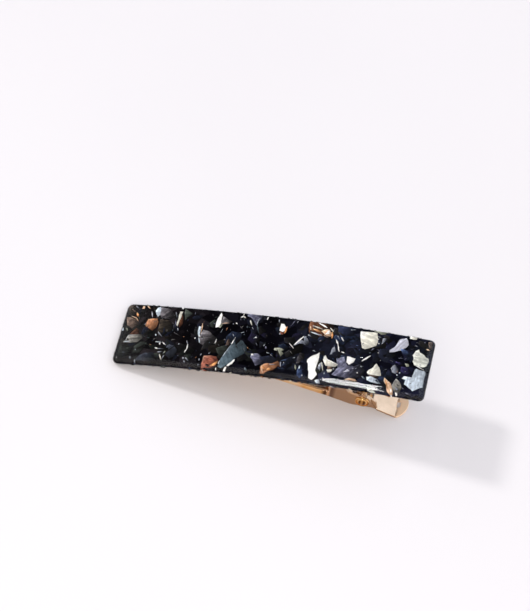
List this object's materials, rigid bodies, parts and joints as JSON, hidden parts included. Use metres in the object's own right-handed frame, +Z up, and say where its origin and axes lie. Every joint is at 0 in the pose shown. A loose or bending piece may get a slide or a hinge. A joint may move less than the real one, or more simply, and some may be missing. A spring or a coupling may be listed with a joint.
{
  "type": "barrette",
  "caption": "Arched rectangular hair barrette of chip-patterned dark acetate on a sprung gold alligator clip that opens when its thumb lever is squeezed.",
  "frame": {"origin": "centre of the bounding box on the table the barrette lies on", "axes": "+Z up from the table, +X along the bar towards its raised end over the thumb lever, -Y towards the near long edge"},
  "size_m": [0.0824, 0.0196, 0.0206],
  "materials": {
    "acetate": "polished, near-black with cream, grey, blue and copper pearl chips under a clear gloss",
    "adhesive": "clear cured epoxy",
    "gold_plate": "polished gold-coloured plating on stamped steel sheet",
    "spring_wire": "gold-coloured plated spring wire"
  },
  "bodies": {
    "bar_body": {"acetate_plate": "acetate", "adhesive": "adhesive", "upper_jaw": "gold_plate", "hinge_pin": "gold_plate", "torsion_spring": "spring_wire"},
    "lever_body": {"lower_jaw": "gold_plate"}
  },
  "joints": [
    {"name": "jaw_hinge", "type": "hinge", "parent": "bar_body", "child": "lever_body", "pos_m": [0.02598, 0, 0.00487], "axis": [0, -1, 0], "range_deg": [0, 30], "stiffness_Nm_per_rad": 0.115, "springref_deg": -30, "deforming": ["torsion_spring"]}
  ]
}
